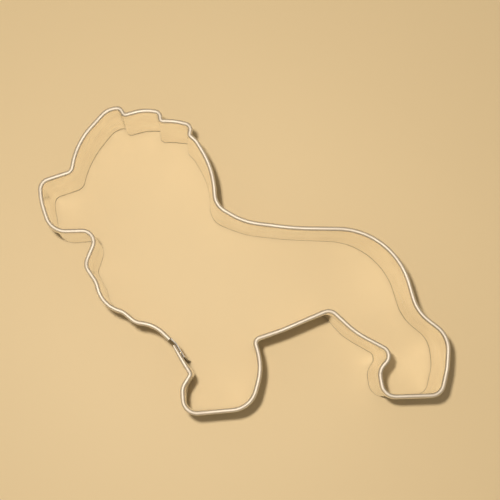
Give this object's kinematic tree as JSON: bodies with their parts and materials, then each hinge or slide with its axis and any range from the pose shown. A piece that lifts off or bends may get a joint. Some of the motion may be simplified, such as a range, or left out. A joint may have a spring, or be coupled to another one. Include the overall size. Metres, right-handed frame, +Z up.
{
  "type": "cookie cutter",
  "caption": "Thin metal strip bent to the outline of a standing lion, hemmed along its top, with a lapped and spot-welded seam; presses biscuit shapes out of rolled dough.",
  "frame": {"origin": "middle of the outline, on the table, at the level of the cutting edge", "axes": "+Z up from the cutting edge to the hem, +X from the lion's nose towards its haunch, +Y from its paws towards its back"},
  "size_m": [0.088, 0.0696, 0.02],
  "materials": {
    "tinplate": "bright cold-rolled tinplate, faint rolling grain along the strip",
    "weld_steel": "fused steel, dull grey with a heat tint"
  },
  "bodies": {
    "root": {"cutter_band": "tinplate", "spot_weld_lower": "weld_steel", "spot_weld_middle": "weld_steel", "spot_weld_upper": "weld_steel"}
  },
  "joints": []
}
